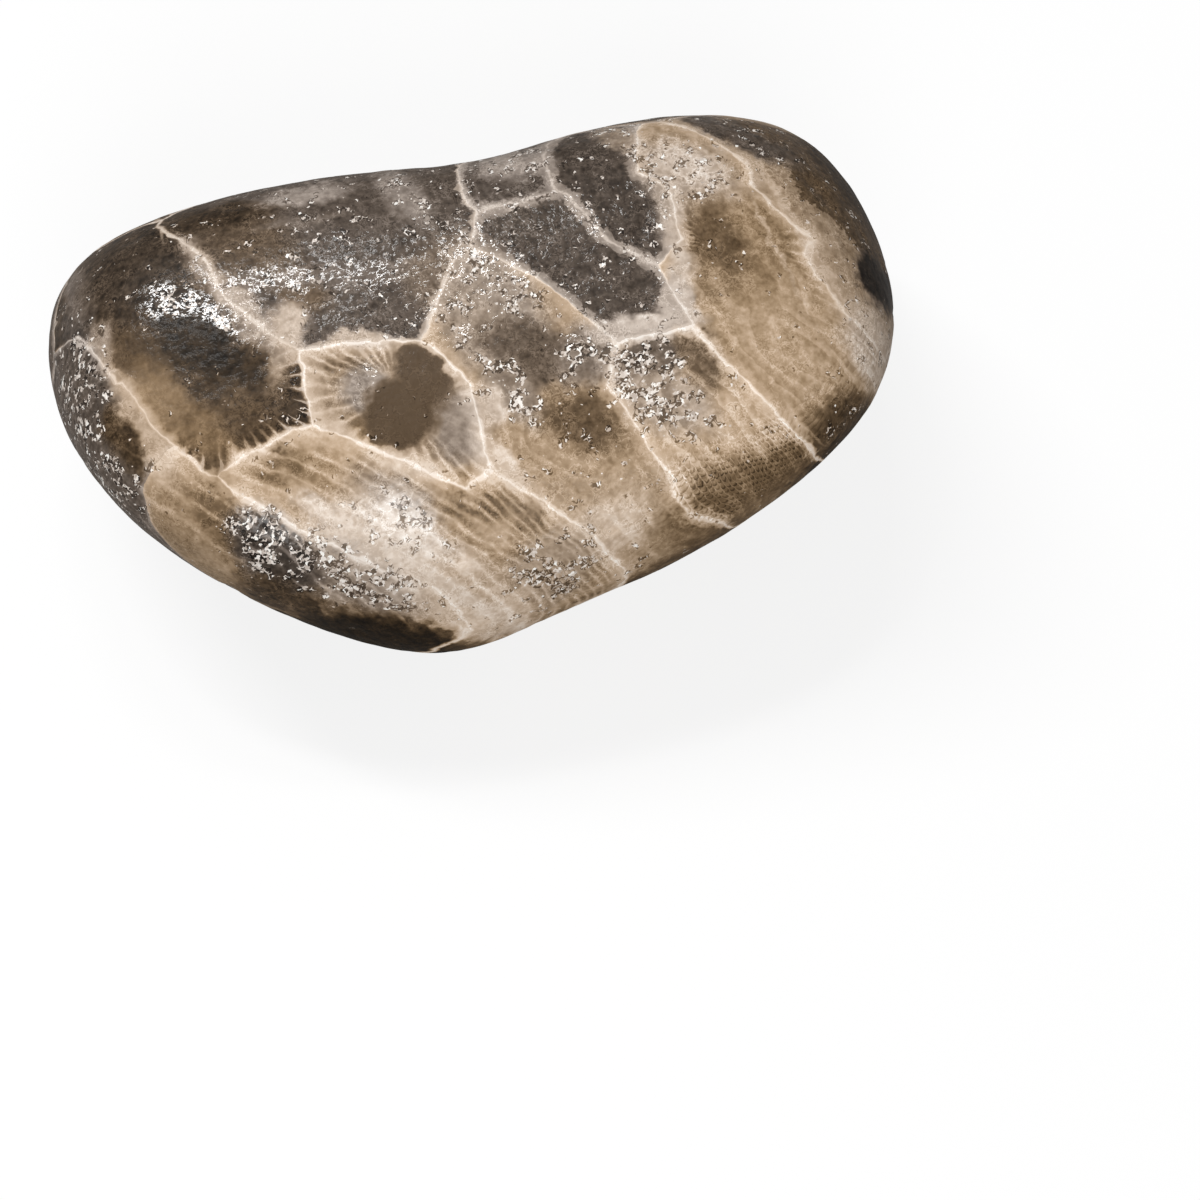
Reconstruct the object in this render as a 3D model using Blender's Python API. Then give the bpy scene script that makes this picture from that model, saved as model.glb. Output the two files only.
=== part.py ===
"""A petoskey stone: one pebble of fossil coral limestone, tumbled smooth, lying on its flattest side.

Metres, +Z up. The origin is on the surface that the stone lies on, under the middle of the stone.
Tumbling rubs a stone flat from many sides and rounds what is left between them, so its form is given
as the stone's wear faces: which way each one looks, and how far it is from the stone's heart.
"""

import math

import bmesh
import bpy
from mathutils import Vector

MM = 0.001

# The heart is the inner point that every wear face is measured from, above the flat that it lies on.
HEART = Vector((-0.3, 0.3, 12.3)) * MM

# Wear faces: bearing round the stone from +X in degrees, slope above the horizon in degrees, reach in mm.
WEAR_FACES = (
    (90, 29, 15.6),  # long far side, leaning back
    (-66, -25, 18.2),  # near side to the right, undercut
    (218, -24, 21.6),  # near side to the left, undercut
    (250, -30, 21.2),  # blunt nose between those two
    (170, 0, 33.5),  # left end
    (142, 14, 32.4),  # left end's far corner
    (4, 10, 35.2),  # right end
    (38, 22, 29.4),  # right end's far corner
    (-30, -12, 28.8),  # right end's near corner
    (-90, 82, 12.6),  # broad top, tipped towards the near side
    (-95, 42, 17.0),  # shoulder under the top
    (-100, 5, 21.0),  # near side's belly
    (180, 48, 26.0),  # left shoulder
    (0, 48, 26.0),  # right shoulder
    (0, -48, 24.0),  # right underside
    (180, -48, 24.0),  # left underside
    (90, -30, 20.0),  # far side's belly
    (90, -60, 16.0),  # far underside
    (-90, -62, 15.0),  # near underside
    (0, -90, 13.4),  # underside, which the flat it lies on is worn into
)

# How tightly the faces turn into each other: 2 would be nearly a ball, 20 nearly a cut gem.
EDGE_TIGHTNESS = 7.0

# Low swells and hollows: bearing and slope in degrees, spread in degrees, rise in mm.
SWELLS = (
    (80, 28, 26, -1.4),  # long hollow in the far side
    (250, -8, 20, 0.5),  # keel of the nose, upper end
    (252, -30, 18, 0.9),  # keel of the nose
    (250, -54, 18, 0.5),  # keel of the nose, lower end
    (-76, -28, 24, -1.4),  # hollow beside the nose
)

# Each level makes four faces of one; 5 gives 5120 faces, about 1.3 mm apart.
SKIN_LEVELS = 5

# Points on the rim of the flat that are closer together than this become one.
RIM_SPACING = 0.5 * MM

STONE_COLOUR = (0.20, 0.165, 0.125, 1.0)
STONE_ROUGHNESS = 0.3


def facing(bearing, slope):
    """The unit vector that looks along a bearing and a slope, both in degrees."""
    bearing = math.radians(bearing)
    slope = math.radians(slope)
    return Vector((math.cos(bearing) * math.cos(slope), math.sin(bearing) * math.cos(slope), math.sin(slope)))


def skin_point(direction):
    """The point of the stone's skin that lies in this unit direction from the heart."""
    nearness = 0.0
    for bearing, slope, reach in WEAR_FACES:
        towards = max(0.0, direction.dot(facing(bearing, slope)))
        nearness += (towards / (reach * MM)) ** EDGE_TIGHTNESS
    depth = nearness ** (-1.0 / EDGE_TIGHTNESS)
    for bearing, slope, spread, rise in SWELLS:
        off_centre = 1.0 - direction.dot(facing(bearing, slope))
        depth += rise * MM * math.exp(-off_centre / (1.0 - math.cos(math.radians(spread))))
    return HEART + direction * depth


def stone_material():
    """Polished limestone, grey-brown."""
    material = bpy.data.materials.new("polished_coral_limestone")
    material.use_nodes = True
    shader = material.node_tree.nodes["Principled BSDF"]
    shader.inputs["Base Color"].default_value = STONE_COLOUR
    shader.inputs["Roughness"].default_value = STONE_ROUGHNESS
    shader.inputs["Metallic"].default_value = 0.0
    return material


def make_stone():
    """A ball whose points are moved out to the skin, then worn flat where it lies."""
    shape = bmesh.new()
    bmesh.ops.create_icosphere(shape, subdivisions=SKIN_LEVELS, radius=1.0)
    for point in shape.verts:
        point.co = skin_point(point.co.normalized())
    everything = shape.verts[:] + shape.edges[:] + shape.faces[:]
    worn = bmesh.ops.bisect_plane(
        shape, geom=everything, dist=1e-7, plane_co=(0, 0, 0), plane_no=(0, 0, -1), clear_outer=True
    )
    rim_points = [piece for piece in worn["geom_cut"] if isinstance(piece, bmesh.types.BMVert)]
    bmesh.ops.remove_doubles(shape, verts=rim_points, dist=RIM_SPACING)
    rim = [edge for edge in shape.edges if edge.is_boundary]
    bmesh.ops.contextual_create(shape, geom=rim)
    bmesh.ops.recalc_face_normals(shape, faces=shape.faces[:])
    mesh = bpy.data.meshes.new("stone")
    shape.to_mesh(mesh)
    shape.free()
    mesh.shade_smooth()
    mesh.set_sharp_from_angle(angle=math.radians(40))
    mesh.materials.append(stone_material())
    stone = bpy.data.objects.new("stone", mesh)
    bpy.context.scene.collection.objects.link(stone)
    return stone


for leftover in list(bpy.data.objects):
    bpy.data.objects.remove(leftover)
make_stone()
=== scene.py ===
"""The look of a polished petoskey stone: a beach-worn pebble of fossil coral.

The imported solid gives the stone's form and place. This script makes its fine skin from that solid,
lays the coral through it as a solid pattern, and lights it on a pale floor.
"""

from math import cos, pi, radians, sin
from typing import NamedTuple

import bmesh
import bpy
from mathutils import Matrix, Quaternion, Vector, noise


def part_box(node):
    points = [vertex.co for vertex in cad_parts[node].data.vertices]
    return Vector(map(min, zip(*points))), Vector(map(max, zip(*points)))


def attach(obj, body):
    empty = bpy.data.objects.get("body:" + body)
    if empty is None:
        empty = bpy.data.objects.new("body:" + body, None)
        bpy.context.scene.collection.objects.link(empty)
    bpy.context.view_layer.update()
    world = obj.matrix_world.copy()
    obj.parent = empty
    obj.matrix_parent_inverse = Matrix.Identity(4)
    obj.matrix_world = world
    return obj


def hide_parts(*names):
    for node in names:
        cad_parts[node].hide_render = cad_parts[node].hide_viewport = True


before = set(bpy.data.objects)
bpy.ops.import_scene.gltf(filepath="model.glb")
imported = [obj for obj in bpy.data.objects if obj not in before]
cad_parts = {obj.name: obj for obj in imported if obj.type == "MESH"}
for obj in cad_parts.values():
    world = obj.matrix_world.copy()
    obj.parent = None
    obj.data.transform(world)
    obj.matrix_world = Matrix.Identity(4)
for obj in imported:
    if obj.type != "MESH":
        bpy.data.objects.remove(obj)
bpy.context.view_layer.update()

MM = 0.001
FLAT_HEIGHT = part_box("stone")[0].z                  # the height of the flat that the stone rests on
HEART = Vector((-0.3, 0.3, 12.3)) * MM              # near the stone's middle; the coral is measured from it


# ---------------------------------------------------------------------------------------------------
# Directions
# ---------------------------------------------------------------------------------------------------

def bearing(azimuth, elevation):
    """A unit vector: azimuth in degrees from +X towards +Y, elevation in degrees above the floor."""
    level = cos(radians(elevation))
    return Vector((level * cos(radians(azimuth)), level * sin(radians(azimuth)), sin(radians(elevation))))


EYE_TURN = -10.0                                    # degrees that the eye stands round from the stone's side
EYE_RISE = 60.0                                     # degrees that it looks down
TO_EYE = bearing(EYE_TURN - 90.0, EYE_RISE)
EYE_RIGHT = bearing(EYE_TURN, 0.0)
EYE_UP = TO_EYE.cross(EYE_RIGHT)

# The camera aims past the stone, so that the stone stands up and to the left of the middle.
AIM_RIGHT = 7.53                                    # mm right of the heart
AIM_BELOW = 15.44                                   # mm below it
AIM = HEART + (EYE_RIGHT * AIM_RIGHT - EYE_UP * AIM_BELOW) * MM
CAMERA_AWAY = 295.6 * MM
SIGHT = (AIM - HEART - TO_EYE * CAMERA_AWAY).normalized()
SEEN_RIGHT = SIGHT.cross(Vector((0.0, 0.0, 1.0))).normalized()
SEEN_UP = SEEN_RIGHT.cross(SIGHT)

# The corallites run through the stone as a bundle of tubes. They lean, so that they are cut across on the
# stone's back and lengthwise on its front.
BUNDLE_RUN = radians(-47.0)                         # the way that the tubes trail across the top
BUNDLE_LEAN = radians(57.0)                         # how far they lean over that way
TRAIL = cos(BUNDLE_RUN) * EYE_RIGHT + sin(BUNDLE_RUN) * EYE_UP
BUNDLE = cos(BUNDLE_LEAN) * TO_EYE - sin(BUNDLE_LEAN) * TRAIL
ACROSS_U = cos(BUNDLE_LEAN) * TRAIL + sin(BUNDLE_LEAN) * TO_EYE
ACROSS_V = BUNDLE.cross(ACROSS_U)


# ---------------------------------------------------------------------------------------------------
# Shader sums
# ---------------------------------------------------------------------------------------------------

class Value:
    """A shader value that Python does sums with: each operator adds its Math node."""

    def __init__(self, recipe, socket):
        self.recipe = recipe
        self.socket = socket

    def sum(self, operation, first, second=0.0):
        return self.recipe.node("ShaderNodeMath", {"operation": operation}, {0: first, 1: second})

    def __add__(self, other):
        return self.sum("ADD", self, other)

    def __radd__(self, other):
        return self.sum("ADD", other, self)

    def __sub__(self, other):
        return self.sum("SUBTRACT", self, other)

    def __rsub__(self, other):
        return self.sum("SUBTRACT", other, self)

    def __mul__(self, other):
        return self.sum("MULTIPLY", self, other)

    def __rmul__(self, other):
        return self.sum("MULTIPLY", other, self)

    def __truediv__(self, other):
        return self.sum("DIVIDE", self, other)

    def __rtruediv__(self, other):
        return self.sum("DIVIDE", other, self)

    def __lt__(self, other):
        return self.sum("LESS_THAN", self, other)

    def __gt__(self, other):
        return self.sum("GREATER_THAN", self, other)


class Recipe:
    """The nodes of a material or of the world."""

    def __init__(self, owner):
        owner.use_nodes = True
        self.tree = owner.node_tree
        self.tree.nodes.clear()

    def node(self, kind, settings=None, inputs=None, output=0):
        """Adds a node, sets it, feeds its sockets, and returns one of its outputs."""
        made = self.tree.nodes.new(kind)
        for name, setting in (settings or {}).items():
            if name == "stops":
                self.set_stops(made.color_ramp, setting)
            elif name == "interpolation":
                made.color_ramp.interpolation = setting
            else:
                setattr(made, name, setting)
        for name, value in (inputs or {}).items():
            if isinstance(value, Value):
                self.tree.links.new(value.socket, made.inputs[name])
            else:
                made.inputs[name].default_value = value
        return Value(self, made.outputs[output]) if len(made.outputs) else None

    def set_stops(self, ramp, stops):
        while len(ramp.elements) < len(stops):
            ramp.elements.new(0.5)
        for element, (place, colour) in zip(ramp.elements, stops):
            element.position = place
            element.color = (*colour, 1.0)


# Numbers

def least(first, second):
    return first.sum("MINIMUM", first, second)


def most(first, second):
    return first.sum("MAXIMUM", first, second)


def size_of(value):
    return value.sum("ABSOLUTE", value)


def fraction(value):
    return value.sum("FRACT", value)


def whole(value):
    return value.sum("FLOOR", value)


def rise(value, start, end, top=1.0):
    """Goes smoothly from 0 at start to the top at end; start may be the larger."""
    settings = {"interpolation_type": "SMOOTHSTEP"}
    return value.recipe.node("ShaderNodeMapRange", settings, {0: value, 1: start, 2: end, 4: top})


def switched(chosen, first, second):
    return chosen.recipe.node("ShaderNodeMix", {"data_type": "FLOAT"}, {0: chosen, 2: first, 3: second})


# Vectors

def vector(operation, first, second, output=0, third=(0.0, 0.0, 0.0)):
    inputs = {0: first, 1: second, 2: third}
    return first.recipe.node("ShaderNodeVectorMath", {"operation": operation}, inputs, output)


def along(place, direction):
    return vector("DOT_PRODUCT", place, direction, "Value")


def distance(first, second):
    return vector("DISTANCE", first, second, "Value")


def moved(place, way, amount):
    return vector("MULTIPLY_ADD", way, (amount,) * 3, third=place)


def joined(x, y, z=0.0):
    return x.recipe.node("ShaderNodeCombineXYZ", None, {0: x, 1: y, 2: z})


def component(of, number):
    return of.recipe.node("ShaderNodeSeparateXYZ", None, {0: of}, number)


def components(of):
    return [component(of, number) for number in range(3)]


def heading(way):
    """Which way a vector points, in radians."""
    rising = component(way, 1)
    return rising.sum("ARCTAN2", rising, component(way, 0))


def mixed(share, first, second):
    """Three values at once, from first to second."""
    return share.recipe.node("ShaderNodeMix", {"data_type": "VECTOR"}, {0: share, 4: first, 5: second}, 1)


# Colours and textures

def mixed_colour(share, first, second):
    return share.recipe.node("ShaderNodeMix", {"data_type": "RGBA"}, {0: share, 6: first, 7: second}, 2)


def ramp(value, stops, interpolation="LINEAR"):
    settings = {"stops": stops, "interpolation": interpolation}
    return value.recipe.node("ShaderNodeValToRGB", settings, {0: value})


def cloud(place, per_mm, detail=2.0, roughness=0.5, output="Fac"):
    """Soft noise about a half."""
    inputs = {"Vector": place, "Scale": per_mm, "Detail": detail, "Roughness": roughness}
    return place.recipe.node("ShaderNodeTexNoise", {"noise_dimensions": "3D"}, inputs, output)


def wander(place, per_mm, detail=2.0):
    """A vector that points every way in turn."""
    return vector("SUBTRACT", cloud(place, per_mm, detail, output="Color"), (0.5, 0.5, 0.5))


def worms(grain, middle, wide):
    """The crooked lines along which a grain passes its middle."""
    return rise(size_of(grain - middle), wide, wide * 0.5)


def shards(place, per_mm):
    """Angular grains, each of a random colour."""
    settings = {"voronoi_dimensions": "3D", "feature": "F1"}
    return place.recipe.node("ShaderNodeTexVoronoi", settings, {"Vector": place, "Scale": per_mm}, "Color")


# ---------------------------------------------------------------------------------------------------
# The coral's shapes
# ---------------------------------------------------------------------------------------------------

# A look is (tone, warmth, grain). The tone runs from 0, black, to 1, white, as the eye sees it.
# The warmth runs from 0, smoke grey, to 1, brown. The grain runs from -1, where the septa have gone,
# over 0 to 1, where pale flecks crowd.
NO_FILL = 30.0                                      # mm, further in than any corallite reaches


class Corallite(NamedTuple):
    """One tube of the coral, as it is cut across the bundle, in mm."""
    seeds: tuple                                    # the points (u, v) that the tube is drawn around
    axis: tuple                                     # the point that its septa run to
    body: tuple                                     # the look of its outer part
    filling: tuple                                  # the tone and warmth of its dark filling
    reach: float = 0.0                              # how far its wall stands out from an even share
    fill_from: float = NO_FILL                      # how far in from the wall the filling starts
    eye: float = 0.0                                # radius of a filled eye about the axis
    teeth: float = 0.3                              # how strongly pale septa stand out from the wall
    deep: float = 1.5                               # mm that they stand out
    lobes: float = 0.10                             # mm, how far the filling bulges out between them
    septa: int = 36
    bands: float = 0.0                              # how strongly fine growth bands follow the wall


CORALLITES = (
    # On the top and the front, from the blunt end to the nose.
    Corallite(((-3.5, -21.0), (3.6, -21.5)), (-1.9, -20.5), (0.46, 0.1, 0.8), (0.42, 0.1), fill_from=0.5,
              teeth=0.7, deep=1.4, lobes=0.8, septa=26, bands=0.3),
    Corallite(((-3.0, -12.0), (4.6, -12.2), (-8.5, -13.5)), (4.7, -11.6), (0.56, 0.4, 0.0), (0.28, 0.7),
              fill_from=0.7, teeth=0.8, deep=1.1, lobes=1.0, septa=34),
    Corallite(((-4.5, -1.0), (0.5, -0.5), (2.4, -1.2), (-1.8, 4.0)), (0.9, -0.2), (0.54, 0.3, 0.2),
              (0.35, 0.10), reach=1.0, fill_from=0.25, teeth=0.25, deep=0.8, lobes=0.2),
    Corallite(((1.0, 11.3),), (-0.6, 9.8), (0.46, 0.1, 0.4), (0.36, 0.05), reach=-1.3, fill_from=0.4),
    Corallite(((10.2, -4.8),), (10.0, -4.1), (0.69, 0.75, 0.1), (0.34, 0.8), teeth=0.9, deep=2.2, septa=34),
    Corallite(((10.2, 3.6), (15.2, 1.0)), (10.7, 4.0), (0.60, 0.95, 0.2), (0.42, 0.5), deep=1.0,
              bands=0.4),
    Corallite(((6.5, 10.2), (9.5, 10.2)), (7.6, 11.0), (0.50, 0.15, 0.5), (0.33, 0.10), reach=-1.3,
              fill_from=0.50, teeth=0.2, deep=0.8, lobes=0.1),
    Corallite(((3.0, 15.5), (7.0, 15.0)), (4.1, 14.9), (0.48, 0.15, 0.5), (0.31, 0.10), reach=-1.3,
              fill_from=0.42, teeth=0.2, deep=0.8, lobes=0.1),
    Corallite(((5.5, 20.2), (9.2, 18.8), (12.3, 17.0), (17.5, 15.8)), (11.2, 17.4), (0.62, 1.0, 0.1),
              (0.40, 0.95), reach=-1.3, teeth=0.6, deep=1.2, bands=0.6),
    Corallite(((4.0, 26.0), (8.3, 26.4), (15.6, 25.8)), (8.1, 25.0), (0.56, 0.8, 0.2), (0.34, 0.85),
              fill_from=1.8, bands=0.4),
    Corallite(((17.2, 8.0), (22.5, 4.9)), (15.3, 9.5), (0.68, 1.0, 0.2), (0.40, 0.4), reach=-1.0, teeth=0.3,
              deep=0.9, septa=110, bands=0.9),
    Corallite(((11.2, -13.2), (13.4, -9.2), (18.2, -5.2)), (27.0, -2.0), (0.67, 1.0, 0.1), (0.5, 0.9),
              reach=-0.85, teeth=0.6, deep=3.0, septa=130, bands=0.3),
    Corallite(((6.6, -21.8), (11.6, -20.2), (13.6, -16.4), (17.6, -14.4)), (24.0, -14.0), (0.60, 0.95, 0.0),
              (0.44, 0.95), teeth=0.5, deep=3.2, septa=90, bands=0.2),
    # On the back and the underside.
    Corallite(((-14.5, -7.5),), (-14.5, -7.5), (0.66, 0.7, 0.1), (0.36, 0.7), eye=2.2, teeth=0.8, deep=2.2),
    Corallite(((-12.0, 3.0),), (-12.0, 3.0), (0.50, 0.4, 0.1), (0.33, 0.3), fill_from=0.5, teeth=0.6,
              lobes=0.4, septa=28),
    Corallite(((-9.0, 13.5),), (-9.0, 13.5), (0.66, 0.8, 0.2), (0.40, 0.8), eye=2.0, teeth=0.8, deep=2.0),
    Corallite(((-5.0, 22.5),), (-5.0, 22.5), (0.55, 0.5, 0.3), (0.32, 0.2), fill_from=0.7),
    Corallite(((-13.5, -19.0),), (-13.5, -19.0), (0.50, 0.2, 0.5), (0.36, 0.2), fill_from=0.5),
    Corallite(((-21.0, -12.5),), (-21.0, -12.5), (0.60, 0.8, 0.2), (0.42, 0.9), eye=2.2, teeth=0.7,
              deep=2.5),
    Corallite(((-20.5, -2.0),), (-20.5, -2.0), (0.62, 0.7, 0.2), (0.38, 0.8), eye=1.8, teeth=0.8, deep=2.5),
    Corallite(((-19.0, 8.0),), (-19.0, 8.0), (0.52, 0.3, 0.2), (0.34, 0.2), fill_from=0.6, teeth=0.6,
              lobes=0.4, septa=28),
    Corallite(((-15.0, 19.0),), (-15.0, 19.0), (0.62, 0.8, 0.2), (0.42, 0.8), eye=2.0, teeth=0.7, deep=2.2),
)
FAR_OFF = 100.0                                     # mm, past the last corallite
TOOTH_HALF = 0.17                                   # mm, half the width of a pale septum at the wall
TUBE_DRIFT = 0.9                                    # how strongly the tubes wander, so that none is straight
TUBE_SHIVER = 0.35                                  # how strongly they tremble


class Rock:
    """The stone's own unevenness: values that vary about a half, and vectors that vary about nothing."""

    def __init__(self, recipe):
        place = recipe.node("ShaderNodeTexCoord", None, None, "Object")
        place = recipe.node("ShaderNodeVectorMath", {"operation": "SCALE"}, {0: place, "Scale": 1 / MM})
        self.place = vector("SUBTRACT", place, HEART / MM)          # mm from the heart
        self.facing = recipe.node("ShaderNodeNewGeometry", None, None, "Normal")
        # Values, from the broadest to the finest
        self.patches = cloud(self.place, 0.5, roughness=0.6)
        self.mottle = cloud(self.place, 1.1, detail=3.0, roughness=0.65)
        self.pitting = cloud(self.place, 1.6)
        self.grit = cloud(self.place, 1.7, detail=1.5)
        self.salt = cloud(self.place, 3.2, detail=1.0)
        # Vectors
        self.drift = wander(self.place, 0.30, detail=1.0)
        self.swirl = wander(self.place, 0.5)
        self.shiver = wander(self.place, 1.3)


def nearest_corallite(place):
    """How far the two nearest corallites are, and the nearest one's number."""
    first, second, which = FAR_OFF, FAR_OFF, 0.0
    for number, one in enumerate(CORALLITES):
        away = None
        for u, v in one.seeds:
            here = distance(place, (u, v, 0.0))
            away = here if away is None else least(away, here)
        if one.reach:
            away = away - one.reach
        nearer = away < first
        second = least(most(away, first), second)
        first = least(away, first)
        which = switched(nearer, which, float(number))
    return first, second, which


def of_corallite(which, read):
    """Three values of the corallite with that number. A stepped ramp holds them, so none is below 0."""
    stops = [(number / len(CORALLITES), read(one)) for number, one in enumerate(CORALLITES)]
    return ramp((which + 0.5) * (1 / len(CORALLITES)), stops, "CONSTANT")


class Tubes:
    """The corallites as values: where a place lies in its own tube, and what that tube is like."""

    def __init__(self, rock):
        self.bent = moved(moved(rock.place, rock.drift, TUBE_DRIFT), rock.shiver, TUBE_SHIVER)
        self.cut = joined(along(self.bent, ACROSS_U), along(self.bent, ACROSS_V))
        first, second, which = nearest_corallite(self.cut)
        self.wall_gap = (second - first) * 0.5                      # mm in from the wall

        span = 2 * FAR_OFF
        packed = of_corallite(which, lambda one: [part / span + 0.5 for part in (*one.axis, 0.0)])
        self.axis = vector("MULTIPLY_ADD", packed, (span,) * 3, third=(-FAR_OFF,) * 3)

        self.body = of_corallite(which, lambda one: one.body)
        filling = of_corallite(which, lambda one: (*one.filling, one.eye))
        self.filling_tone, self.filling_warmth, self.eye = components(filling)
        edge = of_corallite(which, lambda one: (one.fill_from, one.teeth, one.lobes))
        self.fill_from, self.teeth, self.lobes = components(edge)
        comb = of_corallite(which, lambda one: (one.septa, TOOTH_HALF / one.deep, one.bands))
        self.septa, self.taper, self.bands = components(comb)


class Septa:
    """The walls that radiate in a tube: pale teeth at the wall that taper inwards, with gaps between."""

    def __init__(self, rock, tubes):
        out = vector("SUBTRACT", tubes.cut, tubes.axis)
        self.from_axis = distance(out, (0.0, 0.0, 0.0))
        self.count = heading(out) * tubes.septa * (1 / (2 * pi))    # a whole number on each septum
        share = fraction(self.count)
        self.lobe = share * (1 - share) * 4.0                       # 0 on a septum and 1 midway to the next
        beside = (0.5 - size_of(share - 0.5)) * (self.from_axis * 2 * pi / tubes.septa)
        shrink = tubes.wall_gap * tubes.taper * (0.5 + rock.mottle)
        self.tooth = rise(beside + shrink - TOOTH_HALF, 0.06, -0.08) * rise(shrink, TOOTH_HALF, 0.0)
        at_wall = rise(shrink, TOOTH_HALF * 1.2, TOOTH_HALF * 0.4)
        self.gap = self.lobe * at_wall * rise(tubes.wall_gap, 0.05, 0.35)


FILL_RAGGED = 1.3                                   # mm, how unevenly a filling's edge runs
FILL_SOFT = 0.16                                    # mm over which the edge fades
EYE_SOFT = (0.45, -0.35)                            # mm outside and inside the edge of an eye
FILLING_GRAIN = 0.3


def filled(rock, tubes, septa):
    """The look of a tube's outer part and of its dark filling, scalloped between the septa."""
    ragged = (rock.mottle - 0.5) * FILL_RAGGED
    bulge = septa.lobe * (2.0 - septa.lobe) * tubes.lobes
    inner = tubes.wall_gap + bulge + ragged * (1.1 - tubes.lobes)
    inside = rise(inner - tubes.fill_from, 0.0, FILL_SOFT)
    in_eye = rise(septa.from_axis + ragged - tubes.eye, *EYE_SOFT) * (tubes.eye > 0.0)
    filling = joined(tubes.filling_tone, tubes.filling_warmth, FILLING_GRAIN)
    return mixed(most(inside, in_eye), tubes.body, filling)


# ---------------------------------------------------------------------------------------------------
# The stains, with painted shade and a painted highlight among them
# ---------------------------------------------------------------------------------------------------

class StainAndPaintedLight(NamedTuple):
    """A soft patch in the stone, an ellipse as the eye looks down on it: mostly a stain, in a few places
    painted shade, and once a painted highlight.
    """
    middle: tuple                                   # mm right of the heart and above it
    half: float                                     # half its length in mm
    slim: float                                     # how many times longer than wide it is
    turn: float                                     # degrees that its length turns up from the right
    look: tuple
    soft: float = 0.45                              # share of its size over which it fades, each way
    strength: float = 1.0


SPOT_SWIRL = 1.2                                   # how strongly the edges of the stains and painted light wander
SPOT_SHIVER = 1.0                                  # how strongly they fray

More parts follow.
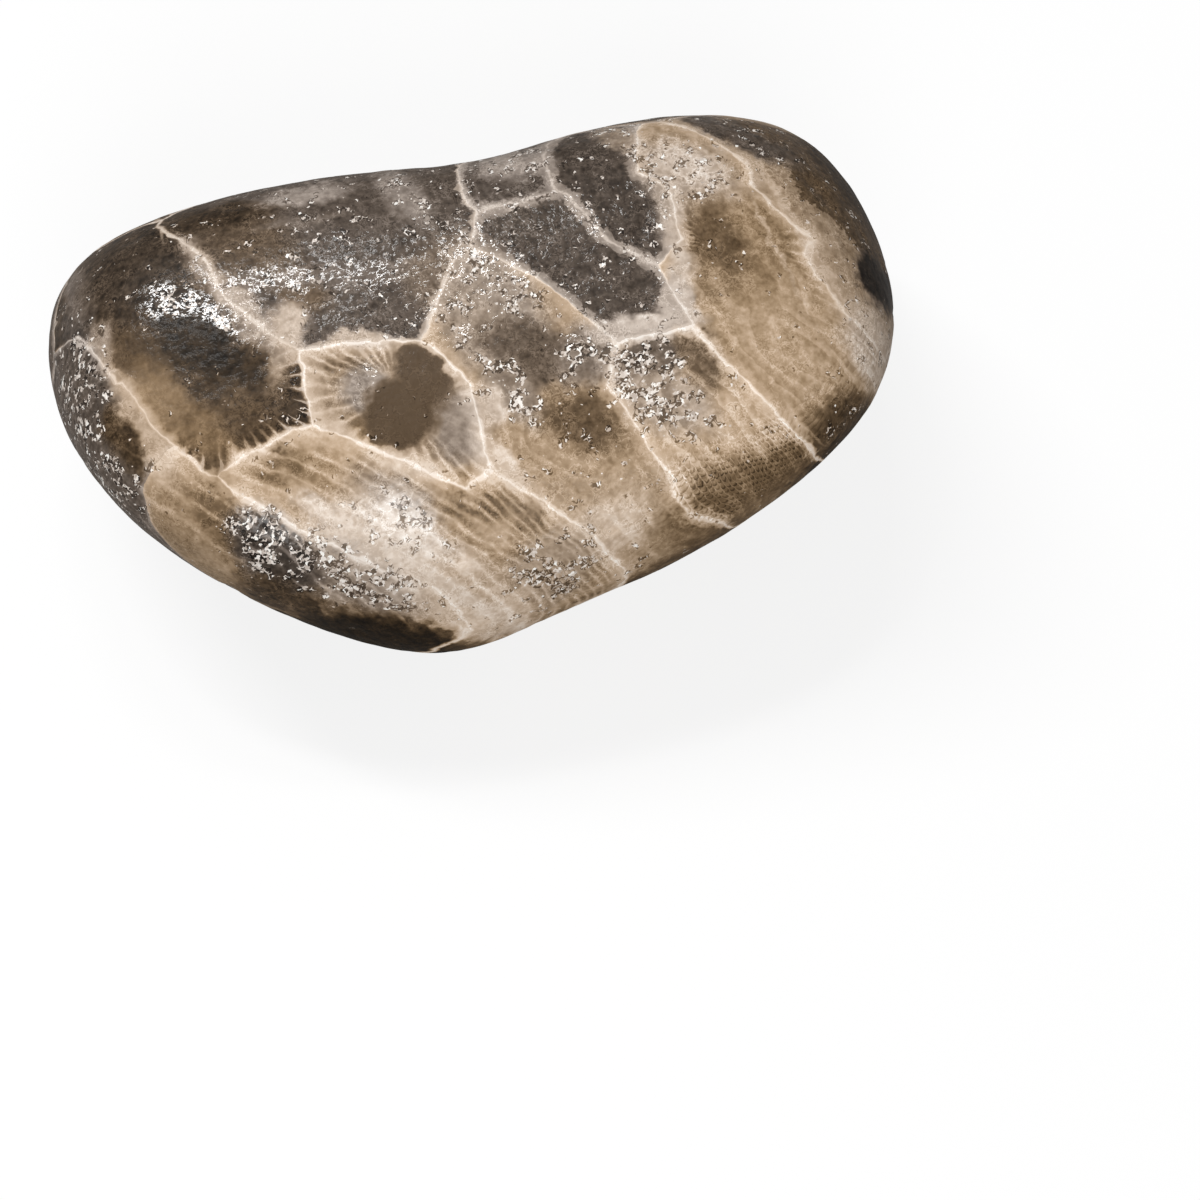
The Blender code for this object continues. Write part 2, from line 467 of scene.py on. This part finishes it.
STAINS_AND_PAINTED_LIGHT = (
    # The blunt end
    StainAndPaintedLight((-26.3, 2.4), 2.4, 1.6, -65, (0.36, 0.05, 0.6)),
    StainAndPaintedLight((-26.5, 5.6), 2.0, 1.6, -65, (0.52, 0.0, 0.3)),
    StainAndPaintedLight((-25.4, -1.8), 3.4, 1.6, -65, (0.36, 0.1, 0.8)),
    StainAndPaintedLight((-24.3, 2.0), 1.5, 1.6, -65, (0.60, 0.4, 0.6)),
    StainAndPaintedLight((-21.4, -3.2), 4.6, 3, -65, (0.72, 0.75, 0.0)),
    StainAndPaintedLight((-22.9, -4.8), 2.6, 2.2, -65, (0.28, 0.8, 0.0), 0.3),
    StainAndPaintedLight((-24.0, -7.0), 3.2, 2.2, -50, (0.40, 0.1, 0.8)),
    # The dark corallite beside it: brown in its lower corner, a pale cloud along its upper wall
    StainAndPaintedLight((-21.8, 7.4), 5.2, 1.6, 30, (0.27, 0.4, 0.1)),
    StainAndPaintedLight((-21.4, 0.4), 2.6, 1.6, -50, (0.31, 0.8, -0.6)),
    StainAndPaintedLight((-19.9, -2.4), 3.2, 2.2, -50, (0.48, 1.0, -0.6)),
    StainAndPaintedLight((-17.3, -4.2), 2.6, 1.6, -25, (0.43, 1.0, -0.3)),
    StainAndPaintedLight((-13.2, -5.8), 2.6, 1.6, -25, (0.54, 0.95, 0.1)),
    StainAndPaintedLight((-15.8, -0.6), 2.8, 1.6, -50, (0.26, 0.7, -0.5)),
    StainAndPaintedLight((-14.4, -3.5), 2.4, 1.6, -50, (0.32, 0.8, 0.0)),
    StainAndPaintedLight((-12.2, 2.5), 3.4, 3, 80, (0.80, 0.6, 0.0), 0.45, 0.8),
    StainAndPaintedLight((-16.2, 5.2), 5.0, 5, -50, (0.56, 0.35, 0.35)),
    StainAndPaintedLight((-15.2, 3.6), 2.2, 1.6, -50, (0.64, 0.35, 0.3)),
    # Painted highlight: crowded pale flecks where the window's glint falls; the coat also rises there
    StainAndPaintedLight((-18.4, 3.5), 3.2, 2.2, -25, (0.27, 0.2, 1.0)),
    StainAndPaintedLight((-17.9, 1.7), 3.2, 2.2, -25, (0.19, 0.75, -0.5)),
    # The smoke-grey corallite above
    StainAndPaintedLight((-14.8, 8.2), 3.6, 1.6, -25, (0.35, 0.6, 0.2)),
    StainAndPaintedLight((-17.0, 10.3), 4.0, 5, 10, (0.26, 0.6, 0.1)),
    StainAndPaintedLight((-11.4, 11.8), 3.0, 4, 10, (0.60, 0.1, 0.3)),
    StainAndPaintedLight((-11.3, 9.9), 2.8, 8, 10, (0.48, 0.2, 0.7), 0.45, 0.7),
    StainAndPaintedLight((-11.6, 5.4), 2.4, 2.2, -25, (0.40, 0.6, 0.3)),
    StainAndPaintedLight((-12.4, 6.0), 3.4, 5, 5, (0.47, 0.2, 1.0)),
    StainAndPaintedLight((-6.5, 6.4), 4.0, 5, 5, (0.44, 0.1, 0.6)),
    StainAndPaintedLight((-4.8, 11.8), 2.6, 2.2, -50, (0.54, 0.1, 0.6)),
    StainAndPaintedLight((2.6, 13.9), 2.4, 2.2, 5, (0.60, 0.1, 0.7)),
    StainAndPaintedLight((9.4, 15.8), 1.8, 2.2, -25, (0.54, 0.5, 0.7)),
    # The corallite with the brown eye
    StainAndPaintedLight((-8.5, 0.5), 1.6, 1.6, -65, (0.58, 0.8, 0.0)),
    StainAndPaintedLight((-7.3, 1.9), 1.9, 3, -10, (0.74, 0.5, 0.2)),
    StainAndPaintedLight((-7.0, -1.2), 1.5, 1, 0, (0.60, 0.2, 0.5)),
    StainAndPaintedLight((-0.9, -3.6), 2.8, 1.6, -65, (0.55, 0.3, -0.4)),
    StainAndPaintedLight((-6.4, -4.1), 1.5, 1, 0, (0.45, 0.95, -0.3)),
    StainAndPaintedLight((-3.2, -0.4), 2.5, 1.6, -50, (0.34, 0.65, -0.9), 0.3),
    StainAndPaintedLight((-4.7, -2.9), 2.4, 1, 0, (0.33, 0.7, -1.0), 0.2),
    StainAndPaintedLight((-3.9, -2.4), 1.6, 1.6, -50, (0.335, 0.68, -1.0), 0.3),
    # Right of it
    StainAndPaintedLight((-1.8, 6.3), 2.6, 1, 0, (0.43, 0.4, 0.4)),
    StainAndPaintedLight((1.8, 5.0), 4.4, 2.2, -50, (0.56, 0.35, 0.7)),
    StainAndPaintedLight((-0.2, 2.8), 2.8, 1.6, -65, (0.57, 0.45, 0.6)),
    StainAndPaintedLight((3.6, 1.2), 3.2, 1.6, -25, (0.36, 0.4, 0.0), 0.3),
    StainAndPaintedLight((7.4, 1.0), 2.0, 1, 0, (0.48, 0.3, 0.9)),
    StainAndPaintedLight((2.6, -1.4), 2.8, 2.2, -50, (0.54, 0.4, 1.0)),
    StainAndPaintedLight((7.2, -3.4), 2.8, 1.6, -25, (0.37, 0.85, 0.3)),
    StainAndPaintedLight((1.4, -2.4), 1.5, 1.6, -65, (0.74, 0.5, 0.2)),
    StainAndPaintedLight((9.0, -11.2), 3.0, 2.2, 30, (0.53, 1.0, 0.1)),
    StainAndPaintedLight((11.4, 0.8), 2.8, 1.6, 30, (0.40, 0.3, 1.0)),
    StainAndPaintedLight((12.6, -2.0), 3.2, 1.6, -25, (0.60, 0.5, 1.0)),
    StainAndPaintedLight((14.8, 1.2), 2.8, 2.2, -65, (0.40, 0.7, 0.0)),
    StainAndPaintedLight((16.2, -8.8), 4.2, 1.6, 30, (0.43, 1.0, 0.0)),
    # The pale rims of the grey corallites
    StainAndPaintedLight((11.2, 2.9), 3.6, 4, 10, (0.78, 0.2, 0.3), 0.35),
    StainAndPaintedLight((13.6, 5.0), 1.8, 2.2, -65, (0.78, 0.3, 0.2), 0.35),
    StainAndPaintedLight((12.9, 4.5), 1.0, 1, 0, (0.74, 0.2, 0.2), 0.3),
    StainAndPaintedLight((13.9, 8.8), 3.4, 2.2, -80, (0.80, 0.4, 0.5)),
    # The nose
    StainAndPaintedLight((14.0, 13.2), 3.6, 1.6, -25, (0.72, 0.45, 0.7)),
    StainAndPaintedLight((18.0, 8.4), 3.4, 1, 0, (0.50, 1.0, 0.0), 0.5),
    StainAndPaintedLight((15.9, 8.7), 2.9, 1.6, -65, (0.38, 0.9, 0.1), 0.5),
    StainAndPaintedLight((15.7, 5.9), 1.3, 1, 0, (0.50, 0.95, 0.1)),
    StainAndPaintedLight((21.6, 9.4), 5.6, 16, -60, (0.78, 0.8, 0.0), 0.45, 0.7),
    StainAndPaintedLight((19.8, 8.4), 4.6, 25, -65, (0.72, 0.8, 0.0), 0.45, 0.5),
    # Painted shadow: dark low on the right end, as if shaded by a stone beside it
    StainAndPaintedLight((24.4, -3.6), 3.0, 1.6, 30, (0.31, 0.9, 0.4)),
    StainAndPaintedLight((20.8, -6.6), 2.8, 1.6, 30, (0.40, 1.0, 0.0)),
    StainAndPaintedLight((17.4, 16.2), 4.6, 5, -25, (0.34, 0.15, 0.4)),
    StainAndPaintedLight((25.4, 13.2), 5.2, 5, -50, (0.24, 0.9, -0.3)),
    StainAndPaintedLight((26.8, 6.2), 2.4, 2.2, -65, (0.20, 0.1, -0.5), 0.3),
    StainAndPaintedLight((26.4, 1.8), 3.0, 1.6, -65, (0.76, 0.6, 0.3)),
    # The front
    StainAndPaintedLight((-5.2, -8.2), 3.0, 1.6, -25, (0.64, 0.6, 0.2)),
    StainAndPaintedLight((-4.4, -10.6), 3.2, 1.6, -65, (0.84, 0.15, 1.0)),
    StainAndPaintedLight((-4.4, -11.4), 5.4, 3, -25, (0.90, 0.5, 0.5)),
    StainAndPaintedLight((2.4, -6.4), 3.0, 5, -50, (0.84, 0.7, 0.0)),
    StainAndPaintedLight((-2.6, -6.6), 4.0, 5, -10, (0.84, 0.8, 0.0)),
    StainAndPaintedLight((8.8, -10.4), 3.0, 1.6, 30, (0.76, 0.8, 0.1)),
    StainAndPaintedLight((0.0, -8.3), 2.4, 1.6, -25, (0.45, 1.0, 0.1)),
    StainAndPaintedLight((5.0, -13.0), 3.4, 1.6, 30, (0.66, 0.7, 0.9)),
    StainAndPaintedLight((3.4, -8.8), 1.8, 1.6, -50, (0.52, 0.9, 0.0)),
    StainAndPaintedLight((0.0, -15.0), 4.0, 1.6, -25, (0.80, 0.8, 0.1)),
    StainAndPaintedLight((-15.8, -9.4), 3.4, 1.6, -50, (0.48, 0.95, 0.1)),
    StainAndPaintedLight((-7.9, -13.4), 5.0, 2.2, -25, (0.58, 0.35, 0.9)),
    StainAndPaintedLight((-9.0, -9.6), 2.6, 3, -25, (0.84, 0.6, 0.5)),
    StainAndPaintedLight((-12.9, -12.0), 3.4, 1.6, -50, (0.33, 0.05, 1.0), 0.35),
    StainAndPaintedLight((-12.2, -15.6), 3.6, 2.2, -25, (0.28, 0.8, 0.1)),
    StainAndPaintedLight((-2.4, -13.8), 5.4, 8, -29, (0.92, 0.6, 0.0), 0.45, 0.8),
    # Painted shade: dark brown along the bottom edge
    StainAndPaintedLight((-5.8, -17.6), 6.0, 4, -8, (0.17, 1.0, -0.5)),
    # Painted shade along the lower edge, where the stone turns under
    StainAndPaintedLight((11.4, -14.9), 13.0, 8, 28, (0.24, 1.0, -0.5)),
    StainAndPaintedLight((23.4, -6.4), 5.0, 5, 48, (0.20, 1.0, -0.5)),
)


def with_stains_and_painted_light(rock, look):
    """Adds the soft stains, and the painted shade and highlight among them, to the look."""
    frayed = moved(moved(rock.place, rock.swirl, SPOT_SWIRL), rock.shiver, SPOT_SHIVER)
    right = along(frayed, SEEN_RIGHT)
    up = along(frayed, SEEN_UP)
    turned = {}
    for spot in STAINS_AND_PAINTED_LIGHT:
        lengthwise = bearing(spot.turn, 0.0)
        crosswise = bearing(spot.turn + 90.0, 0.0) * spot.slim
        way = (spot.turn, spot.slim)
        if way not in turned:
            length = right * lengthwise.x + up * lengthwise.y
            turned[way] = joined(length, right * crosswise.x + up * crosswise.y)
        middle = Vector((*spot.middle, 0.0))
        away = distance(turned[way], (middle.dot(lengthwise), middle.dot(crosswise), 0.0))
        share = rise(away, spot.half * (1 + spot.soft), spot.half * (1 - spot.soft), spot.strength)
        look = mixed(share, look, spot.look)
    return look


# ---------------------------------------------------------------------------------------------------
# The marks in each tube
# ---------------------------------------------------------------------------------------------------

GLOOM = (0.52, 0.34)                                # the tones between which the rock goes from pale to dark

# How strongly the stone's unevenness stirs the tone, from the broad patches to the fine grains
PATCH_STIR = 0.12
MOTTLE_STIR = 0.26
FINE_STIR = 0.16

# How strong a mark is, first in pale rock and then in dark
GAP_SHADE = (0.22, 0.06)                            # tone that the gaps between the septa lose
BAND_STEP = (0.12, 0.04)                            # tone between growth bands
GLOW_WIDTH = (1.1, 0.25)                            # mm that a wall's pale glow reaches
THREADS = (1.0, 0.5)                                # threads and floors where a tube is cut lengthwise

BANDS_PER_MM = 1.15
FLOORS_PER_MM = 2.3
FLOOR_RISE = 0.45                                   # how far a floor arches, as a share of their spacing
FLOOR_STEP = 0.37                                   # how much higher they lie from one gap to the next
THREAD_TONE = 0.14                                  # tone that a thread gains
FLOOR_SHADE = 0.24                                  # tone that is lost under a floor

LINE_EDGE = (0.16, 0.02)                            # mm from the wall between which its bright line fades in
SEAM_PALE = 0.49                                    # the mottling's value along a seam's pale side
SEAM_DARK = 0.525                                   # and along its dark side
SEAM_WIDE = 0.035

GROWN_TOGETHER = (5.1, -21.0, 0.0)                  # where the wall at the blunt end is gone
GONE_WITHIN = (3.0, 4.2)                            # mm from there over which the wall comes back
WALL_LEFT = 0.3                                     # how much of it still shows there


def by_gloom(gloom, pair):
    """From the first of the pair in pale rock to the second in dark."""
    pale, dark = pair
    return pale - gloom * (pale - dark)


def mottled(rock, tone, grain):
    """Mottling, less where the septa have gone."""
    stir = (rock.mottle - 0.5) * MOTTLE_STIR + (rock.patches - 0.5) * PATCH_STIR
    stir = stir + (rock.salt - 0.5) * FINE_STIR + (rock.grit - 0.5) * FINE_STIR
    return tone + stir * rise(grain, -1.2, -0.1)


def with_septa(rock, tubes, septa, glow_tone, tone, grain, gloom):
    """Septa with shaded gaps between them, broken in patches."""
    kept = rise(grain, -0.6, 0.0) * rise(rock.patches, 0.30, 0.55) * tubes.teeth
    tone = tone - septa.gap * kept * by_gloom(gloom, GAP_SHADE)
    return tone + (glow_tone - tone) * septa.tooth * kept


def with_bands(rock, tubes, tone, gloom):
    """Growth bands that follow the wall."""
    ring = fraction(tubes.wall_gap * BANDS_PER_MM + rock.patches * 0.8)
    band = rise(ring, 0.3, 0.9) * rise(ring, 1.0, 0.92)
    return tone + (band - 0.25) * tubes.bands * rise(tubes.wall_gap, 0.3, 0.9) * by_gloom(gloom, BAND_STEP)


def with_walls(rock, tubes, glow_tone, line_tone, tone, gloom):
    """A pale glow beside the wall, then the thin bright line of the wall itself."""
    stands = WALL_LEFT + rise(distance(tubes.cut, GROWN_TOGETHER), *GONE_WITHIN, 1 - WALL_LEFT)
    glow = rise(tubes.wall_gap, by_gloom(gloom, GLOW_WIDTH), 0.0) * stands
    tone = tone + (glow_tone - tone) * glow * (0.4 + rise(rock.patches, 0.2, 0.65, 0.55))
    uneven_gap = tubes.wall_gap - (rock.patches - 0.5) * 0.35 + (rock.mottle - 0.5) * 0.25
    line = rise(uneven_gap, *LINE_EDGE) * stands
    return tone + (line_tone - tone) * line * 0.9


def with_threads(rock, tubes, septa, tone, gloom):
    """Where a tube is cut lengthwise, its septa as threads with small arched floors between them."""
    cut_lengthwise = rise(size_of(along(rock.facing, BUNDLE)), 0.55, 0.25)
    shows = cut_lengthwise * tubes.bands * tubes.bands * by_gloom(gloom, THREADS)
    thread = rise(septa.lobe + (rock.salt - 0.5), 0.4, 0.0)
    height = along(tubes.bent, BUNDLE) * FLOORS_PER_MM + septa.lobe * FLOOR_RISE
    floors = fraction(height + whole(septa.count) * FLOOR_STEP + rock.patches * 2.0)
    arch = rise(floors, 0.5, 0.1) * rise(septa.lobe, 0.1, 0.5) * rise(rock.mottle, 0.3, 0.5)
    return tone + shows * (thread * THREAD_TONE - arch * FLOOR_SHADE)


def with_seams(rock, tone, grain):
    """Thin seams in the rock, each pale on one side and dark on the other."""
    seams = worms(rock.mottle, SEAM_PALE, SEAM_WIDE) - worms(rock.mottle, SEAM_DARK, SEAM_WIDE)
    return tone + seams * (0.03 + rise(grain, -0.3, 0.2, 0.05)) * rise(rock.patches, 0.35, 0.6)


# ---------------------------------------------------------------------------------------------------
# Flecks and pits
# ---------------------------------------------------------------------------------------------------

GRAINS_PER_MM = 4.8                                 # the grains that flecks and pits fill
FLECK_TONE = 0.66                                   # the darkest fleck
FLECK_SPREAD = 0.33                                 # how much paler the palest one is
FLECK_GREY = 0.7                                    # share of the rock's warmth that a fleck loses
PIT_SHADE = 0.45                                    # share of its tone lost in a pit and in painted shade
NEST_EDGE = (0.65, 0.72)                            # the noise between which a nest of flecks begins
HOOK = 0.5                                          # the grit's value along a hook
HOOK_PIT_SHADES = (0.565, 0.435)                          # and along its two sides: pits and painted shade
HOOK_WIDE = 0.035
HOOK_PIT_SHADE_WIDE = 0.045


def with_flecks(rock, tone, warmth, grain):
    """Flecks of calcite and painted glints, with pits and painted shade beside them, more where they crowd.
    Gives tone and warmth.
    """
    crowd = most(grain, 0.0)
    plain = rise(grain, -0.1, -0.8, 0.3)
    nest = rise(cloud(rock.place, 1.1) + crowd * 0.22, *NEST_EDGE)
    grains = shards(moved(moved(rock.place, rock.shiver, 0.4), rock.salt, 0.4), GRAINS_PER_MM)
    chance = component(grains, 0) + (rock.salt - 0.5) * 0.45

    # Crumbs fill the grains with the highest chance, and hooks are short crooked threads in the nests.
    # The hooks stand partly for calcite and partly for painted glints.
    needed = 1.08 - crowd * 0.10 - nest * (0.10 + crowd * 0.24) + plain
    crumb = rise(chance - needed, 0.0, 0.02)
    hook = worms(rock.grit, HOOK, HOOK_WIDE + crowd * 0.02) * nest * rise(chance, 0.42, 0.44)
    fleck = most(crumb, hook)

    # Pits fill the grains with the lowest chance; along both sides of a hook they are painted shade.
    lone_pit = rise(chance + 0.10 - nest * (0.08 + crowd * 0.24) + plain, 0.02, 0.0)
    above, below = (worms(rock.grit, value, HOOK_PIT_SHADE_WIDE) for value in HOOK_PIT_SHADES)
    pits_and_shade = most(lone_pit, most(above, below) * nest)

    tone = tone * (1 - pits_and_shade * PIT_SHADE)
    tone = tone + (FLECK_TONE + component(grains, 1) * FLECK_SPREAD - tone) * fleck
    return tone, warmth * (1 - fleck * FLECK_GREY)


# ---------------------------------------------------------------------------------------------------
# Colour and polish
# ---------------------------------------------------------------------------------------------------

# Luminance is the tone to this power. A row of a family of colour is the tone, then the red, green and
# blue that it has at a luminance of 1.
TONE_POWER = 2.2
BROWNS = (
    (0.0, 1.56, 0.86, 0.29),
    (0.25, 1.49, 0.89, 0.41),
    (0.5, 1.37, 0.93, 0.535),
    (0.65, 1.29, 0.94, 0.635),
    (0.75, 1.23, 0.955, 0.71),
    (1.0, 1.06, 0.99, 0.92),
)
SMOKES = (
    (0.0, 1.30, 0.93, 0.68),
    (0.3, 1.23, 0.955, 0.77),
    (0.5, 1.15, 0.97, 0.85),
    (0.75, 1.12, 0.98, 0.87),
    (1.0, 1.02, 1.0, 0.96),
)
STOPS_PER_ROW = 4

TONE_STRETCH = 1.08                                 # the finished pattern's contrast
TONE_DROP = 0.06                                    # and how much darker it ends

SIDE_SHINE = 0.02                                   # coat on the sides, which are only smooth
TOP_SHINE = 0.015                                   # more of it on the polished top
BRIGHT_SHINE = 0.83                                 # and more again where flecks crowd there
PITTING_DEPTH = 0.06                                # mm
GRIT_DEPTH = 0.009                                  # mm, the finest roughness


def family(rows):
    """A ramp's stops from rows of tone and hue."""
    stops = []
    for low, high in zip(rows, rows[1:]):
        for step in range(STOPS_PER_ROW):
            share = step / STOPS_PER_ROW
            tone, *hue = (a + (b - a) * share for a, b in zip(low, high))
            stops.append((tone, [part * tone ** TONE_POWER for part in hue]))
    tone, *hue = rows[-1]
    stops.append((tone, [min(1.0, part) for part in hue]))
    return stops


def polish(rock, grain):
    """How strongly each place shines: most where flecks crowd on the top, and least on the sides."""
    on_top = rise(component(rock.facing, 2), 0.35, 0.95)
    crowded = rise(most(grain, 0.0), 0.1, 0.7)
    return SIDE_SHINE + on_top * (TOP_SHINE + worms(rock.pitting, 0.5, 0.11) * crowded * BRIGHT_SHINE)


def coral(material):
    """Lays the coral through the stone."""
    recipe = Recipe(material)
    rock = Rock(recipe)
    tubes = Tubes(rock)
    septa = Septa(rock, tubes)
    tone, warmth, grain = components(with_stains_and_painted_light(rock, filled(rock, tubes, septa)))

    body_tone = component(tubes.body, 0)
    glow_tone = body_tone * 0.7 + 0.30 + (rock.mottle - 0.5) * 0.35
    line_tone = body_tone * 0.8 + 0.36
    tone = mottled(rock, tone, grain)
    gloom = rise(tone, *GLOOM)
    tone = with_septa(rock, tubes, septa, glow_tone, tone, grain, gloom)
    tone = with_bands(rock, tubes, tone, gloom)
    tone = with_walls(rock, tubes, glow_tone, line_tone, tone, gloom)
    tone = with_threads(rock, tubes, septa, tone, gloom)
    tone = with_seams(rock, tone, grain)
    tone = tone * TONE_STRETCH - TONE_DROP
    tone, warmth = with_flecks(rock, tone, warmth, grain)
    colour = mixed_colour(warmth, ramp(tone, family(SMOKES)), ramp(tone, family(BROWNS)))

    height = rock.pitting * PITTING_DEPTH + cloud(rock.place, 5.0, detail=1.0) * GRIT_DEPTH
    bumped = recipe.node("ShaderNodeBump", None, {"Strength": 1.0, "Distance": MM, "Height": height})
    shader = recipe.node("ShaderNodeBsdfPrincipled", None, {
        "Base Color": colour, "Roughness": 0.45, "Specular IOR Level": 0.10,
        "Coat Weight": polish(rock, grain), "Coat Roughness": 0.08, "Normal": bumped, "Coat Normal": bumped})
    recipe.node("ShaderNodeOutputMaterial", None, {"Surface": shader})


# ---------------------------------------------------------------------------------------------------
# The stone's skin
# ---------------------------------------------------------------------------------------------------

SKIN_LEVELS = 2                                     # each level parts a face in four
SAME_POINT = 1e-7                                   # m, points as close as this are one
SAME_HEIGHT = 1e-6                                  # m, points as close to the flat's height lie in it
FLAT_INSETS = (0.4 * MM, 0.8 * MM, 1.6 * MM)        # rings inside the rim of the flat that it rests on

WAVES = ((0.35, 0.05), (0.9, 0.025))                # low waves: how many to a mm, and mm high
PITS_PER_MM = 0.55
PIT_RIM = 0.30                                      # how strong the noise has to be to make a pit
PIT_DEEP = 0.35                                     # mm for each unit above that
PITS_ASIDE = Vector((7.0, 3.0, 1.0))                # keeps the pits apart from the waves
WEAR_FROM = 0.4                                     # mm above the flat, where waves and pits start


def remake_flat(bm):
    """Gives the resting flat one even face with rings round it, so that it takes a smooth skin."""
    below = FLAT_HEIGHT + SAME_HEIGHT
    flat = [face for face in bm.faces if all(corner.co.z < below for corner in face.verts)]
    bmesh.ops.delete(bm, geom=flat, context="FACES")
    rim = [edge for edge in bm.edges if edge.is_boundary]
    whole_flat = bmesh.ops.contextual_create(bm, geom=rim)["faces"]
    for width in FLAT_INSETS:
        bmesh.ops.inset_region(bm, faces=whole_flat, thickness=width, use_even_offset=True)


def weather(mesh):
    """Gives the smooth skin its low waves and its pits. The flat that it rests on stays."""
    for vertex, normal in zip(mesh.vertices, [Vector(one.vector) for one in mesh.vertex_normals]):
        place = (vertex.co - HEART) / MM
        height = sum(high * noise.noise(place * per_mm) for per_mm, high in WAVES)
        height -= PIT_DEEP * max(0.0, noise.noise(place * PITS_PER_MM + PITS_ASIDE) - PIT_RIM)
        clear = min(1.0, max(0.0, (vertex.co.z - FLAT_HEIGHT) / MM - WEAR_FROM))
        vertex.co += normal * height * MM * clear


def make_skin(node):
    """A fine, smooth copy of the stone's solid."""
    bm = bmesh.new()
    bm.from_mesh(node.data)
    bmesh.ops.remove_doubles(bm, verts=bm.verts, dist=SAME_POINT)
    remake_flat(bm)
    bmesh.ops.recalc_face_normals(bm, faces=bm.faces)
    mesh = bpy.data.meshes.new("stone_skin")
    bm.to_mesh(mesh)
    bm.free()
    skin = bpy.data.objects.new("stone_skin", mesh)
    bpy.context.scene.collection.objects.link(skin)
    fine = skin.modifiers.new("fine", "SUBSURF")
    fine.levels = SKIN_LEVELS
    fine.render_levels = SKIN_LEVELS
    bpy.context.view_layer.update()
    evaluated = skin.evaluated_get(bpy.context.evaluated_depsgraph_get())
    smooth = bpy.data.meshes.new_from_object(evaluated)
    skin.modifiers.clear()
    skin.data = smooth
    weather(smooth)
    smooth.shade_smooth()
    return skin


# ---------------------------------------------------------------------------------------------------
# The studio
# ---------------------------------------------------------------------------------------------------

WHITE = (1.0, 1.0, 1.0, 1.0)
PAPER = (0.95, 0.95, 0.95, 1.0)
PAPER_BOUNCE = (0.30, 0.29, 0.28, 1.0)              # what the paper throws back at the stone
PAPER_GLOW = 0.8                                    # share of the paper that no shadow darkens
FLOOR_HALF = 1.5                                    # m
FLOOR_CLEARANCE = 0.02 * MM                         # keeps the floor out of the stone's flat
WORLD_LIGHT = 0.25


def seen_directly(recipe):
    """1 where the eye sees a thing and 0 for the light that it throws."""
    return recipe.node("ShaderNodeLightPath", None, None, "Is Camera Ray")


def paper(material):
    """White to the eye but for shadows, and a plain pale grey to the stone."""
    recipe = Recipe(material)
    shaded = recipe.node("ShaderNodeBsdfDiffuse", None, {"Color": PAPER})
    glow = recipe.node("ShaderNodeEmission", None, {"Color": WHITE, "Strength": 1.0})
    white = recipe.node("ShaderNodeMixShader", None, {0: PAPER_GLOW, 1: shaded, 2: glow})
    bounce = recipe.node("ShaderNodeBsdfDiffuse", None, {"Color": PAPER_BOUNCE})
    both = recipe.node("ShaderNodeMixShader", None, {0: seen_directly(recipe), 1: bounce, 2: white})
    recipe.node("ShaderNodeOutputMaterial", None, {"Surface": both})


def make_floor():
    bm = bmesh.new()
    bmesh.ops.create_grid(bm, x_segments=1, y_segments=1, size=FLOOR_HALF)
    bmesh.ops.translate(bm, verts=bm.verts, vec=(0.0, 0.0, FLAT_HEIGHT - FLOOR_CLEARANCE))
    mesh = bpy.data.meshes.new("floor")
    bm.to_mesh(mesh)
    bm.free()
    floor = bpy.data.objects.new("floor", mesh)
    bpy.context.scene.collection.objects.link(floor)
    sheet = bpy.data.materials.new("paper")
    paper(sheet)
    mesh.materials.append(sheet)


def make_world():
    world = bpy.data.worlds.new("studio")
    bpy.context.scene.world = world
    recipe = Recipe(world)
    strength = WORLD_LIGHT + seen_directly(recipe) * (1 - WORLD_LIGHT)
    sky = recipe.node("ShaderNodeBackground", None, {"Color": WHITE, "Strength": strength})
    recipe.node("ShaderNodeOutputWorld", None, {"Surface": sky})


def make_lamp(name, azimuth, elevation, away, width, height, power, roll=0.0):
    """A soft box that faces the stone: angles in degrees, sizes in metres, power in watts."""
    light = bpy.data.lights.new(name, "AREA")
    light.shape = "RECTANGLE"
    light.size = width
    light.size_y = height
    light.energy = power
    lamp = bpy.data.objects.new(name, light)
    lamp.location = HEART + bearing(azimuth, elevation) * away
    facing = (HEART - lamp.location).to_track_quat("-Z", "Y")
    lamp.rotation_euler = (facing @ Quaternion((0.0, 0.0, 1.0), radians(roll))).to_euler()
    bpy.context.scene.collection.objects.link(lamp)


def make_camera():
    lens = bpy.data.cameras.new("camera")
    lens.lens = 130.0
    lens.sensor_width = 36.0
    lens.clip_start = 0.01
    camera = bpy.data.objects.new("camera", lens)
    camera.location = HEART + TO_EYE * CAMERA_AWAY
    camera.rotation_euler = SIGHT.to_track_quat("-Z", "Y").to_euler()
    bpy.context.scene.collection.objects.link(camera)
    bpy.context.scene.camera = camera


make_camera()
make_world()
make_floor()
# The window and the strip make the highlights on the top, and the fill lifts the front.
make_lamp("window", azimuth=130.0, elevation=58.0, away=0.6, width=0.05, height=0.36, power=2.0, roll=17.0)
make_lamp("strip", azimuth=88.0, elevation=69.0, away=0.6, width=0.11, height=0.04, power=0.42)
make_lamp("fill", azimuth=-100.0, elevation=32.0, away=0.8, width=0.5, height=0.5, power=3.8)

stone = make_skin(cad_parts["stone"])
limestone = bpy.data.materials.new("coral_limestone")
coral(limestone)
stone.data.materials.clear()
stone.data.materials.append(limestone)
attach(stone, "root")
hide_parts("stone")

bpy.context.scene.view_settings.view_transform = "Standard"
